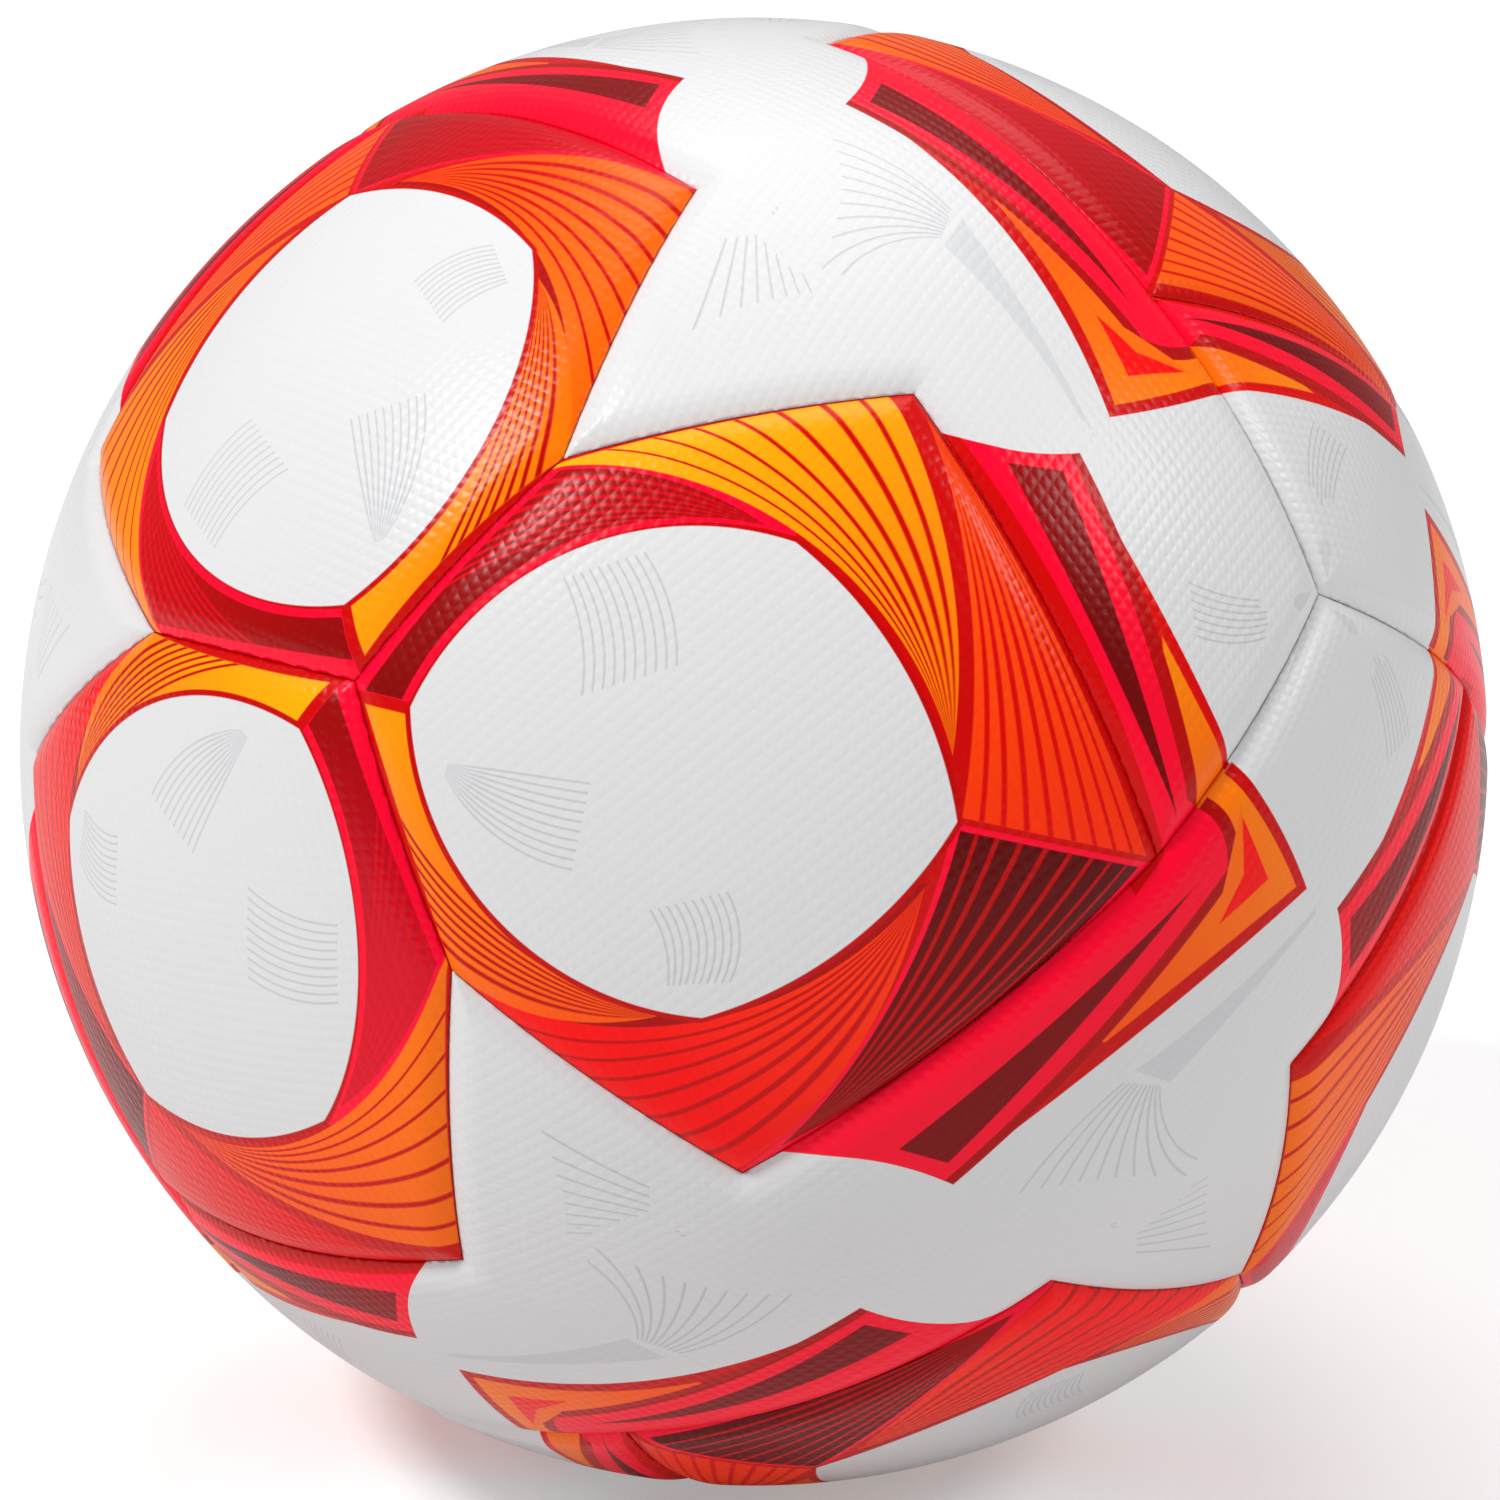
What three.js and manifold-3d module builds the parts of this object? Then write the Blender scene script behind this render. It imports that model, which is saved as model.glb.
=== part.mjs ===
// A size 5 football with eighteen bonded cover panels.
//
// Millimetres, +Z up, origin at the centre of the ball. The ball stands on the small flat
// that its weight presses into the lowest panel.
//
// Every seam is a great circle arc. The twelve flame panels have six corners and the six
// white panels have twelve, and the twelve turns of a tetrahedron carry one panel of each
// kind onto all the others. Under each cover lies its foam pad, then the woven carcass,
// then the rubber bladder, and a valve runs through every layer of one white panel.

import * as THREE from 'three';
import { mergeVertices } from 'three/addons/utils/BufferGeometryUtils.js';
import Module from 'manifold-3d';

const wasm = await Module();
wasm.setup();

const { degToRad } = THREE.MathUtils;

// ---------- driving dimensions, millimetres and degrees ----------

const ballCircumference = 690;
const coverThickness = 1.3;
const padThickness = 3.4;
const carcassThickness = 1.2;
const bladderThickness = 1.0;
const layerGap = 0.3; // between one layer and the next
const seamGap = 0.3; // between neighbouring panels
const rimWidth = 4; // band along each seam where a panel rolls down
const rimDrop = 1.5; // how far the panel has sunk when it meets the seam
const restFlatDepth = 0.7; // how far the lowest panel is pressed in by the ground

const stemRadius = 4;
const stemClearance = 0.3;
const boreRadius = 2;
const flangeRadius = 11;
const flangeThickness = 1.4;
const headRecess = 0.6; // the valve head lies this far below the crown of its panel
const coreClearance = 0.3;
const coreRecess = 0.8;
const coreLength = 7;
const needleRadius = 0.55;

const weightRadius = 13;
const weightThickness = 1.8;

// the six corners of a flame panel, as seen from corner A along its axis of symmetry
const axisTwist = -21.45; // from the arc that joins A to G
const shoulderReach = 20.2; // A to B and A to F
const shoulderSpread = 60;
const elbowReach = 42.25; // A to C and A to E
const elbowSpread = 43;
const tipReach = 56.35; // A to D
const hubReach = 30; // A to the middle of the panel

const coverRows = 4; // facet rows in each patch of a cover
const innerRows = 3; // facet rows in each patch of the layers below
const longestPatchEdge = 35; // degrees
const valveSides = 24;
const weightSteps = 3;

// turns the ball so that the valve faces up and back, with a white panel on the ground
const attitude = new THREE.Euler(degToRad(107.65), degToRad(-79.74), degToRad(-4.2));

// ---------- sizes that follow from them ----------

// how deep the middle of a flat facet lies below the sphere through its corners
const facetSag = (rows) => 1 - Math.cos(degToRad(longestPatchEdge / rows) / Math.sqrt(3));

const seamInset = seamGap / 2;
const crownRadius = ballCircumference / (2 * Math.PI);
const coverInner = crownRadius - coverThickness;
const padOuter = coverInner * (1 - facetSag(coverRows)) - layerGap;
const padInner = padOuter - padThickness;
const carcassOuter = padInner - layerGap;
const carcassInner = carcassOuter - carcassThickness;
const bladderOuter = carcassInner - layerGap;
const bladderInner = bladderOuter - bladderThickness;
const liningRadius = bladderInner * (1 - facetSag(innerRows)) - layerGap; // what fits inside it

// ---------- solids ----------

// drops normals and uvs, joins shared corners and leaves out collapsed triangles
function toSolid(geometry) {
  const bare = geometry.clone();
  bare.deleteAttribute('normal');
  bare.deleteAttribute('uv');
  const merged = mergeVertices(bare);
  const triangles = [];
  const index = merged.index.array;
  for (let i = 0; i < index.length; i += 3) {
    const [a, b, c] = index.slice(i, i + 3);
    if (a !== b && b !== c && c !== a) triangles.push(a, b, c);
  }
  return new wasm.Manifold(new wasm.Mesh({
    numProp: 3,
    vertProperties: new Float32Array(merged.attributes.position.array),
    triVerts: new Uint32Array(triangles),
  }));
}

function toGeometry(solid) {
  const { vertProperties, triVerts } = solid.getMesh();
  const geometry = new THREE.BufferGeometry();
  geometry.setAttribute('position', new THREE.BufferAttribute(vertProperties, 3));
  geometry.setIndex(new THREE.BufferAttribute(triVerts, 1));
  geometry.computeVertexNormals();
  return geometry;
}

function trianglesToGeometry(triangles) {
  const geometry = new THREE.BufferGeometry();
  geometry.setFromPoints(triangles.flat());
  return geometry;
}

// ---------- the turns of a tetrahedron ----------

const X = new THREE.Vector3(1, 0, 0);
const Y = new THREE.Vector3(0, 1, 0);
const Z = new THREE.Vector3(0, 0, 1);
const axes = [X, Y, Z];

const turn = (axis, degrees) => new THREE.Quaternion().setFromAxisAngle(axis, degToRad(degrees));
const triad = new THREE.Vector3(1, 1, 1).normalize();
const thirds = [0, 120, 240].map((degrees) => turn(triad, degrees));
const halves = [turn(X, 0), turn(X, 180), turn(Y, 180), turn(Z, 180)];

const flameTurns = halves.flatMap((half) => thirds.map((third) => half.clone().multiply(third)));

// a white panel for each end of X, Y and Z, in that order
const whiteTurns = thirds.flatMap((third, i) => {
  const flip = turn(axes[(i + 1) % 3], 180);
  return [third.clone(), flip.multiply(third)];
});

// ---------- panel outlines on the unit sphere ----------

const cornerA = triad;
const cornerG = new THREE.Vector3(1, 1, -1).normalize();

// the point at an arc of `reach` degrees from A, `spread` degrees left of the panel's axis
function fromA(reach, spread) {
  const ahead = cornerG.clone().addScaledVector(cornerA, -cornerG.dot(cornerA)).normalize();
  ahead.applyAxisAngle(cornerA, degToRad(axisTwist + spread));
  const arc = degToRad(reach);
  return cornerA.clone().multiplyScalar(Math.cos(arc)).addScaledVector(ahead, Math.sin(arc));
}

const cornerB = fromA(shoulderReach, shoulderSpread);
const cornerC = fromA(elbowReach, elbowSpread);
const cornerD = fromA(tipReach, 0);
const cornerE = fromA(elbowReach, -elbowSpread);
const cornerF = fromA(shoulderReach, -shoulderSpread);

// corners run anticlockwise seen from outside; patches index the corners, then the hub
const flameOutline = {
  corners: [cornerA, cornerF, cornerE, cornerD, cornerC, cornerB],
  hub: fromA(hubReach, 0),
  patches: [0, 1, 2, 3, 4, 5].map((i) => [i, (i + 1) % 6, 6]),
};

// one half of a white panel borders two flame panels that meet at A
function whiteHalf() {
  const nextFlame = turn(cornerA, -120);
  const farC = cornerC.clone().applyQuaternion(nextFlame);
  const farD = cornerD.clone().applyQuaternion(nextFlame);
  return [cornerG, cornerD, cornerE, cornerF, farC, farD];
}

const otherHalf = (points) => points.map((p) => p.clone().applyQuaternion(turn(X, 180)));

// patches of one half: three round the hub and out to F, two along the arm
const hubIndex = 12;
const whiteHalfPatches = [
  [hubIndex, 1, 2], [hubIndex, 2, 4], [2, 3, 4], [hubIndex, 4, 7],
  [4, 5, 6], [4, 6, 7],
];
const swapHalf = (i) => (i === hubIndex ? hubIndex : (i + hubIndex / 2) % hubIndex);

const whiteOutline = {
  corners: [...whiteHalf(), ...otherHalf(whiteHalf())],
  hub: X,
  patches: [...whiteHalfPatches, ...whiteHalfPatches.map((patch) => patch.map(swapHalf))],
};

// ---------- curved surfaces ----------

// moves a corner inwards from its two seams, at a given distance from the ball's centre
function insetCorner(corners, i, inset, radius) {
  const corner = corners[i];
  const before = corners.at(i - 1);
  const after = corners[(i + 1) % corners.length];
  const seamIn = new THREE.Vector3().crossVectors(before, corner).normalize();
  const seamOut = new THREE.Vector3().crossVectors(corner, after).normalize();
  const shift = seamIn.clone().add(seamOut).multiplyScalar(inset / (1 + seamIn.dot(seamOut)));
  const along = new THREE.Vector3().crossVectors(seamIn, seamOut).normalize();
  const height = Math.sqrt(radius ** 2 - shift.lengthSq());
  return shift.addScaledVector(along, Math.sign(along.dot(corner)) * height);
}

const ringOf = (outline, { inset, radius }) =>
  outline.corners.map((_, i) => insetCorner(outline.corners, i, inset, radius));

// the facets of one curved triangle, in `rows` rows
function patchTriangles(a, b, c, radius, rows) {
  const at = (row, step) => new THREE.Vector3()
    .addScaledVector(c, rows - row)
    .addScaledVector(a, row - step)
    .addScaledVector(b, step)
    .setLength(radius);
  const triangles = [];
  for (let row = 0; row < rows; row += 1) {
    for (let step = 0; step <= row; step += 1) {
      triangles.push([at(row, step), at(row + 1, step), at(row + 1, step + 1)]);
      if (step < row) triangles.push([at(row, step), at(row + 1, step + 1), at(row, step + 1)]);
    }
  }
  return triangles;
}

function capTriangles(outline, ring, radius, rows) {
  const points = [...ring, outline.hub.clone().setLength(radius)];
  return outline.patches.flatMap(([a, b, c]) =>
    patchTriangles(points[a], points[b], points[c], radius, rows));
}

// the strip between two rings of corners, from the upper ring to the lower one
function bandTriangles(upper, upperRadius, lower, lowerRadius, rows) {
  const triangles = [];
  upper.forEach((_, i) => {
    const next = (i + 1) % upper.length;
    const on = (ring, radius, step) =>
      ring[i].clone().lerp(ring[next], step / rows).setLength(radius);
    for (let step = 0; step < rows; step += 1) {
      const a = on(upper, upperRadius, step);
      const b = on(lower, lowerRadius, step);
      const c = on(lower, lowerRadius, step + 1);
      const d = on(upper, upperRadius, step + 1);
      triangles.push([a, b, c], [a, c, d]);
    }
  });
  return triangles;
}

const reversed = (triangles) => triangles.map(([a, b, c]) => [a, c, b]);

// a panel is closed by rings that run from its crown, over the rim, to its inner face
function panelSolid(outline, rings, rows) {
  const corners = rings.map((ring) => ringOf(outline, ring));
  const top = rings[0];
  const bottom = rings.at(-1);
  const triangles = capTriangles(outline, corners[0], top.radius, rows);
  for (let i = 1; i < rings.length; i += 1) {
    const above = rings[i - 1].radius;
    triangles.push(...bandTriangles(corners[i - 1], above, corners[i], rings[i].radius, rows));
  }
  triangles.push(...reversed(capTriangles(outline, corners.at(-1), bottom.radius, rows)));
  return toSolid(trianglesToGeometry(triangles));
}

// the whole sphere, faceted along the same seams as the panels
function ballSolid(radius) {
  const patchwork = (outline, turns) => {
    const ring = ringOf(outline, { inset: 0, radius });
    const piece = capTriangles(outline, ring, radius, innerRows);
    return turns.flatMap((q) =>
      piece.map((triangle) => triangle.map((p) => p.clone().applyQuaternion(q))));
  };
  const triangles = [
    ...patchwork(flameOutline, flameTurns),
    ...patchwork(whiteOutline, whiteTurns),
  ];
  return toSolid(trianglesToGeometry(triangles));
}

// ---------- the pieces ----------

function coverSolid(outline) {
  const rimInset = seamInset + rimWidth;
  return panelSolid(outline, [
    { inset: rimInset, radius: crownRadius },
    { inset: seamInset, radius: crownRadius - rimDrop },
    { inset: seamInset, radius: coverInner - rimDrop },
    { inset: rimInset, radius: coverInner },
  ], coverRows);
}

function padSolid(outline) {
  return panelSolid(outline, [
    { inset: seamInset + rimWidth, radius: padOuter },
    { inset: seamInset, radius: padOuter - rimDrop },
    { inset: seamInset, radius: padInner },
  ], innerRows);
}

// the hole that the valve stem passes through, along +X from the centre of the ball
function stemHole() {
  const radius = stemRadius + stemClearance;
  const depth = 2 * (crownRadius - liningRadius);
  const cylinder = new THREE.CylinderGeometry(radius, radius, depth, valveSides);
  cylinder.rotateZ(Math.PI / 2);
  cylinder.translate((crownRadius + liningRadius) / 2, 0, 0);
  return toSolid(cylinder);
}

// everything below the ground, in the frame of a panel that is placed by `placement`
function groundBlock(placement) {
  const side = crownRadius;
  const block = new THREE.BoxGeometry(side, side, side);
  block.translate(0, 0, -(crownRadius - restFlatDepth) - side / 2);
  block.applyQuaternion(placement.clone().invert());
  return toSolid(block);
}

function hollowBall(outer, inner) {
  return ballSolid(outer).subtract(ballSolid(inner)).subtract(stemHole());
}

// a ring about +X from its outline of [radius, distance from the ball's centre] points
function turnedAboutX(profile, sides) {
  const points = profile.map(([radius, height]) => new THREE.Vector2(radius, height));
  const lathe = new THREE.LatheGeometry(points, sides);
  lathe.rotateZ(-Math.PI / 2);
  return lathe;
}

// flange inside the bladder, stem through every layer, bore for the core
function valveSeatGeometry() {
  const shoulder = Math.sqrt(liningRadius ** 2 - flangeRadius ** 2);
  const foot = shoulder - flangeThickness;
  const head = crownRadius - headRecess;
  return turnedAboutX([
    [boreRadius, foot],
    [flangeRadius, foot],
    [flangeRadius, shoulder],
    [stemRadius, shoulder],
    [stemRadius, head],
    [boreRadius, head],
    [boreRadius, foot],
  ], valveSides);
}

// the rubber plug that seals round the needle
function valveCoreGeometry() {
  const radius = boreRadius - coreClearance;
  const top = crownRadius - headRecess - coreRecess;
  const bottom = top - coreLength;
  return turnedAboutX([
    [needleRadius, bottom],
    [radius, bottom],
    [radius, top],
    [needleRadius, top],
    [needleRadius, bottom],
  ], valveSides);
}

// a curved disc on the inside of the bladder, opposite the valve
function balanceWeightGeometry() {
  const spread = Math.asin(weightRadius / liningRadius);
  const arc = (radius, share) => [
    radius * Math.sin(spread * share),
    radius * Math.cos(spread * share),
  ];
  const steps = Array.from({ length: weightSteps + 1 }, (_, i) => i / weightSteps);
  const inner = steps.map((share) => arc(liningRadius - weightThickness, share));
  const outer = steps.map((share) => arc(liningRadius, 1 - share));
  inner[0][0] = 0;
  outer.at(-1)[0] = 0;
  return turnedAboutX([...inner, ...outer], valveSides);
}

// ---------- materials ----------

const material = (color, roughness) =>
  new THREE.MeshStandardMaterial({ color, roughness, metalness: 0 });

const flamePrint = material(0xf4470f, 0.36);
const whitePrint = material(0xeeeeec, 0.36);
const foam = material(0xe3dcc6, 0.95);
const wovenCloth = material(0xd9d0b4, 0.9);
const blackRubber = material(0x1d1d1f, 0.6);
const valveRubber = material(0x2a2a2c, 0.55);
const plugRubber = material(0xb9b9b4, 0.5);

// ---------- assembly ----------

const ball = new THREE.Group();
ball.setRotationFromEuler(attitude);

const number = (i) => String(i + 1).padStart(2, '0');

function addPiece(name, geometry, finish, placement = new THREE.Quaternion()) {
  const mesh = new THREE.Mesh(geometry, finish);
  mesh.name = name;
  mesh.quaternion.copy(placement);
  ball.add(mesh);
}

const valvePanel = 1; // the white panel at -X
const lowestPanel = 3; // the white panel at -Y
const valveTurn = whiteTurns[valvePanel];

const flameCover = toGeometry(coverSolid(flameOutline));
const flamePad = toGeometry(padSolid(flameOutline));
flameTurns.forEach((placement, i) => {
  addPiece(`flame_cover_${number(i)}`, flameCover, flamePrint, placement);
  addPiece(`flame_pad_${number(i)}`, flamePad, foam, placement);
});

whiteTurns.forEach((placement, i) => {
  let cover = coverSolid(whiteOutline);
  let pad = padSolid(whiteOutline);
  if (i === valvePanel) {
    cover = cover.subtract(stemHole());
    pad = pad.subtract(stemHole());
  }
  if (i === lowestPanel) {
    const inBall = ball.quaternion.clone().multiply(placement);
    cover = cover.subtract(groundBlock(inBall));
  }
  addPiece(`white_cover_${number(i)}`, toGeometry(cover), whitePrint, placement);
  addPiece(`white_pad_${number(i)}`, toGeometry(pad), foam, placement);
});

addPiece('carcass', toGeometry(hollowBall(carcassOuter, carcassInner)), wovenCloth, valveTurn);
addPiece('bladder', toGeometry(hollowBall(bladderOuter, bladderInner)), blackRubber, valveTurn);
addPiece('valve_seat', valveSeatGeometry(), valveRubber, valveTurn);
addPiece('valve_core', valveCoreGeometry(), plugRubber, valveTurn);
addPiece('balance_weight', toGeometry(toSolid(balanceWeightGeometry())), blackRubber);

export default ball;
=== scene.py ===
import math

import bpy
import numpy as np
from mathutils import Matrix, Vector


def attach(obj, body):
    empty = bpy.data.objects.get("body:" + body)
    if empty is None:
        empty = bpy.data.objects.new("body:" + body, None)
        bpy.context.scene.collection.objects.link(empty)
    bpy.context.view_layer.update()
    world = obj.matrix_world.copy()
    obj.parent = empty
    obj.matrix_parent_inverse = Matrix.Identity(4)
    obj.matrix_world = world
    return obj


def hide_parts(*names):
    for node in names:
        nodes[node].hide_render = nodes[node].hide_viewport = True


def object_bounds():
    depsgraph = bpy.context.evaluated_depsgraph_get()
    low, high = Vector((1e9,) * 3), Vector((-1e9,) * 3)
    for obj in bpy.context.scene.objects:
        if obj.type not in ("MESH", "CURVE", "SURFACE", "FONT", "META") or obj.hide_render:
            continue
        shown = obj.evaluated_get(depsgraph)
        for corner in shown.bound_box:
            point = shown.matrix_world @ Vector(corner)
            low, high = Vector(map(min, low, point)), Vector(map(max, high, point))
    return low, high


# A size 5 football: twelve printed flame covers and six white covers over foam pads, a
# woven carcass, a bladder and a valve. Metres, Z up, with the ball's centre at the origin.
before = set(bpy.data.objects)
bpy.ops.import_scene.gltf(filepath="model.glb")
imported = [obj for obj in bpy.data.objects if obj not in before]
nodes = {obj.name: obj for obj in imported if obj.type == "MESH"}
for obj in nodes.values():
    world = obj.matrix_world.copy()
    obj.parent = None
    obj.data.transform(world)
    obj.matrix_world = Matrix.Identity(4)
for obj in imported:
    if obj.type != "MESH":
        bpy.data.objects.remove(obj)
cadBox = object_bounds()
mm = 0.001
print("frame loaded,", len(nodes), "nodes")

# where the seams run

panelLayout = {
    "axisTwist": -21.45,  # degrees, from the arc that joins corner A to the far pole
    "shoulderReach": 20.2,  # A to B and A to F
    "shoulderSpread": 60,
    "elbowReach": 42.25,  # A to C and A to E
    "elbowSpread": 43,
    "tipReach": 56.35,  # A to D
    "hubReach": 30,  # A to the middle of the panel
    "attitude": (107.65, -79.74, -4.2),  # how the ball is turned as it stands
}
crownRadius = max(v.co.length for v in nodes["flame_cover_01"].data.vertices)
groundZ = cadBox[0].z
poleA = Vector((1, 1, 1)).normalized()
poleG = Vector((1, 1, -1)).normalized()


def turnAbout(axis, degrees):
    return Matrix.Rotation(math.radians(degrees), 3, axis)


def fromA(reach, spread=0):
    ahead = (poleG - poleA * poleG.dot(poleA)).normalized()
    ahead = turnAbout(poleA, panelLayout["axisTwist"] + spread) @ ahead
    angle = math.radians(reach)
    return poleA * math.cos(angle) + ahead * math.sin(angle)


def layOutPanels():
    size = panelLayout
    cornerA = fromA(0)
    cornerB = fromA(size["shoulderReach"], size["shoulderSpread"])
    cornerC = fromA(size["elbowReach"], size["elbowSpread"])
    cornerD = fromA(size["tipReach"])
    cornerE = fromA(size["elbowReach"], -size["elbowSpread"])
    cornerF = fromA(size["shoulderReach"], -size["shoulderSpread"])
    flame = [cornerA, cornerF, cornerE, cornerD, cornerC, cornerB]
    back = turnAbout(poleA, -120)
    half = [poleG, cornerD, cornerE, cornerF, back @ cornerC, back @ cornerD]
    white = half + [turnAbout("X", 180) @ p for p in half] + [Vector((1, 0, 0))]
    return flame, white


def ballTurns():
    thirds = [turnAbout(poleA, 120 * i) for i in range(3)]
    halves = [Matrix.Identity(3)] + [turnAbout(axis, 180) for axis in "XYZ"]
    flameTurns = [half @ third for half in halves for third in thirds]
    whiteTurns = []
    for i, third in enumerate(thirds):
        whiteTurns += [third, turnAbout("XYZ"[(i + 1) % 3], 180) @ third]
    a, b, c = panelLayout["attitude"]
    stand = turnAbout("X", a) @ turnAbout("Y", b) @ turnAbout("Z", c)
    return stand, flameTurns, whiteTurns


flameCorners, whiteCorners = layOutPanels()
stand, flameTurns, whiteTurns = ballTurns()
# triangles that fill half a white panel, by the numbers of its corners; 12 is its middle
whitePatches = [(12, 1, 2), (12, 2, 4), (2, 3, 4), (12, 4, 7), (4, 5, 6), (4, 6, 7)]
valvePanel, lowestPanel = 1, 3


def seamArcs(corners):
    return [(p, q) for p, q in zip(corners, corners[1:] + corners[:1])]


def seamDistance(points, arcs):
    # shortest way along the ball from each unit point to the nearest seam arc, as an angle
    best = np.full(len(points), np.inf)
    for p, q in arcs:
        p, q = np.array(p), np.array(q)
        pole = np.cross(p, q)
        pole /= np.linalg.norm(pole)
        across = np.arcsin(np.clip(np.abs(points @ pole), 0, 1))
        within = (points @ np.cross(pole, p) > 0) & (points @ np.cross(q, pole) > 0)
        toEnds = np.arccos(np.clip(np.maximum(points @ p, points @ q), -1, 1))
        best = np.minimum(best, np.where(within, across, toEnds))
    return best


def insideWhite(points):
    found = np.zeros(len(points), bool)
    for turned in (Matrix.Identity(3), turnAbout("X", 180)):
        for patch in whitePatches:
            a, b, c = (np.array(turned @ whiteCorners[i]) for i in patch)
            inside = (points @ np.cross(a, b) >= 0) & (points @ np.cross(b, c) >= 0)
            found |= inside & (points @ np.cross(c, a) >= 0)
    return found


# small helpers for meshes

def deselectAll():
    if bpy.context.object and bpy.context.object.mode != "OBJECT":
        bpy.ops.object.mode_set(mode="OBJECT")
    bpy.ops.object.select_all(action="DESELECT")


def work(obj):
    deselectAll()
    obj.select_set(True)
    bpy.context.view_layer.objects.active = obj


def vertexPlaces(mesh):
    places = np.empty(len(mesh.vertices) * 3)
    mesh.vertices.foreach_get("co", places)
    return places.reshape(-1, 3)


def faceCentres(mesh):
    centres = np.empty(len(mesh.polygons) * 3)
    mesh.polygons.foreach_get("center", centres)
    return centres.reshape(-1, 3)


def faceCorners(mesh):
    # the vertex at each corner of each face
    corners = np.empty(len(mesh.loops), np.int32)
    mesh.loops.foreach_get("vertex_index", corners)
    return corners


def waysTo(places):
    # places as unit ways from the ball's centre
    return places / np.linalg.norm(places, axis=1)[:, None]


def selectFaces(obj, chosen):
    if obj.mode != "OBJECT":
        bpy.ops.object.mode_set(mode="OBJECT")
    mesh = obj.data
    mesh.vertices.foreach_set("select", np.zeros(len(mesh.vertices), bool))
    mesh.edges.foreach_set("select", np.zeros(len(mesh.edges), bool))
    mesh.polygons.foreach_set("select", chosen)
    bpy.ops.object.mode_set(mode="EDIT")
    bpy.ops.mesh.select_mode(type="FACE")


def applyModifier(obj, kind, **values):
    work(obj)
    modifier = obj.modifiers.new(kind.title(), kind)
    for key, value in values.items():
        setattr(modifier, key, value)
    bpy.ops.object.modifier_apply(modifier=modifier.name)


def copyPiece(source, name, turn):
    piece = bpy.data.objects.new(name, source.data.copy())
    bpy.context.scene.collection.objects.link(piece)
    piece.data.name = name
    piece.data.transform((stand @ turn).to_4x4())
    piece.data.update()
    return piece


def finishPiece(piece, node, material):
    piece.data.materials.clear()
    piece.data.materials.append(material)
    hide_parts(node)
    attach(piece, "root")


# small helpers for shaders

haze = 0.018  # the sheen lifts every colour by about this much, so the ink is that much deeper


def paint(red, green, blue):
    # a screen colour as a shader's linear one
    def linear(value):
        value /= 255
        value = value / 12.92 if value <= 0.04045 else ((value + 0.055) / 1.055) ** 2.4
        return max(value - haze, 0)
    return (linear(red), linear(green), linear(blue), 1)


def feed(tree, socket, value):
    if isinstance(value, bpy.types.NodeSocket):
        tree.links.new(value, socket)
    else:
        socket.default_value = value


def addNode(tree, kind, inputs=None, **settings):
    node = tree.nodes.new(kind)
    for key, value in settings.items():
        setattr(node, key, value)
    for key, value in (inputs or {}).items():
        feed(tree, node.inputs[key], value)
    return node


def calc(tree, operation, *values, clamp=False):
    node = addNode(tree, "ShaderNodeMath", dict(enumerate(values)), operation=operation, use_clamp=clamp)
    return node.outputs[0]


def mixColor(tree, factor, first, second):
    # sockets 6, 7 and 2 are the Mix node's colours A, B and result
    return addNode(tree, "ShaderNodeMix", {0: factor, 6: first, 7: second}, data_type="RGBA").outputs[2]


def addNoise(tree, place, look):
    return addNode(tree, "ShaderNodeTexNoise", {"Vector": place, **look}).outputs["Fac"]


def addBump(tree, shader, height, strength, depth):
    bump = addNode(tree, "ShaderNodeBump", {"Height": height, "Strength": strength, "Distance": depth})
    tree.links.new(bump.outputs[0], shader.inputs["Normal"])


def objectPlace(tree):
    return addNode(tree, "ShaderNodeTexCoord").outputs["Object"]


def newGroup(name, inputs, outputs):
    tree = bpy.data.node_groups.new(name, "ShaderNodeTree")
    for direction, sockets in (("INPUT", inputs), ("OUTPUT", outputs)):
        for socketName, kind, *value in sockets:
            socket = tree.interface.new_socket(socketName, in_out=direction, socket_type="NodeSocket" + kind)
            if value:
                socket.default_value = value[0]
    return tree, tree.nodes.new("NodeGroupInput").outputs, tree.nodes.new("NodeGroupOutput").inputs


def useGroup(tree, group, **inputs):
    node = tree.nodes.new("ShaderNodeGroup")
    node.node_tree = group
    for key, value in inputs.items():
        feed(tree, node.inputs[key], value)
    return node.outputs


def newMaterial(name):
    material = bpy.data.materials.new(name)
    material.use_nodes = True
    tree = material.node_tree
    return material, tree, tree.nodes["Principled BSDF"]


# shader groups that more than one material uses

def makeArcSide():
    # how far a point lies inside a round side, in millimetres
    tree, given, result = newGroup(
        "arcSide",
        [("Position", "Vector"), ("Centre", "Vector"), ("Radius", "Float", 1.0), ("Turn", "Float", 1.0)],
        [("Depth", "Float")])
    reach = addNode(tree, "ShaderNodeVectorMath", {0: given["Position"], 1: given["Centre"]},
                    operation="DISTANCE").outputs["Value"]
    inner = calc(tree, "SUBTRACT", given["Radius"], reach)
    tree.links.new(calc(tree, "MULTIPLY", inner, given["Turn"]), result["Depth"])
    return tree


fanLook = {
    "sharpness": 5.0,  # of a line's edge, per millimetre
    "widest half": 0.22,  # half a line is never more than this share of the room it has
    "bare margin": 0.02,  # millimetres beside the near and far sides
    "least depth": 0.001,
}


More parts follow.
